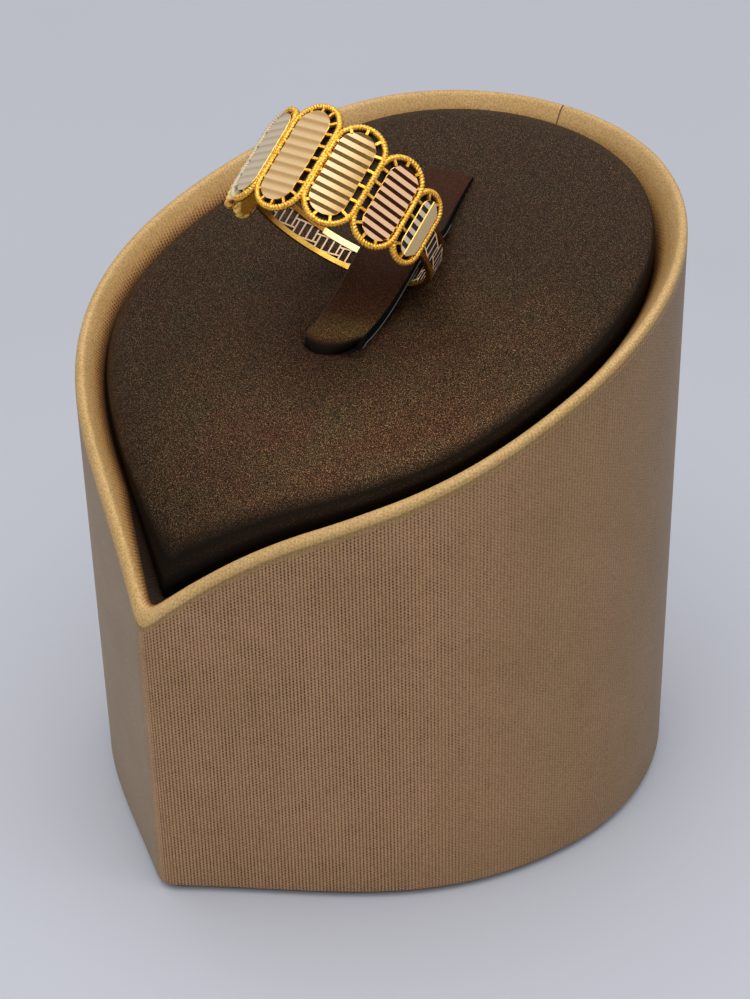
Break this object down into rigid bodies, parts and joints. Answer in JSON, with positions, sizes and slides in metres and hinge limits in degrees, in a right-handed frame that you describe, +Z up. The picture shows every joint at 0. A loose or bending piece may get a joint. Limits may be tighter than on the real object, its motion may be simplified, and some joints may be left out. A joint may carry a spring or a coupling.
{
  "type": "gold ring on slanted display stand",
  "caption": "Pierced gold finger ring with a row of fluted ovals, held by a strap on the slanted cushion of a drop-shaped, leatherette-covered display stand.",
  "frame": {"origin": "bottom centre of the stand's outline, on the surface that it rests on", "axes": "+Z up; +Y towards the high end of the slanted top, away from the drop's point; +X to the right seen from the point"},
  "size_m": [0.0506, 0.057, 0.0692],
  "materials": {
    "gold": "polished yellow gold",
    "cover": "ribbed tan leatherette",
    "rim": "light gold-champagne leatherette",
    "satin": "dark brown satin",
    "pad": "black foam"
  },
  "bodies": {
    "root": {"gold_ring": "gold", "stand_body": "cover", "rim_band": "rim", "cushion": "satin", "ring_tongue": "satin", "base_pad": "pad"}
  },
  "joints": []
}
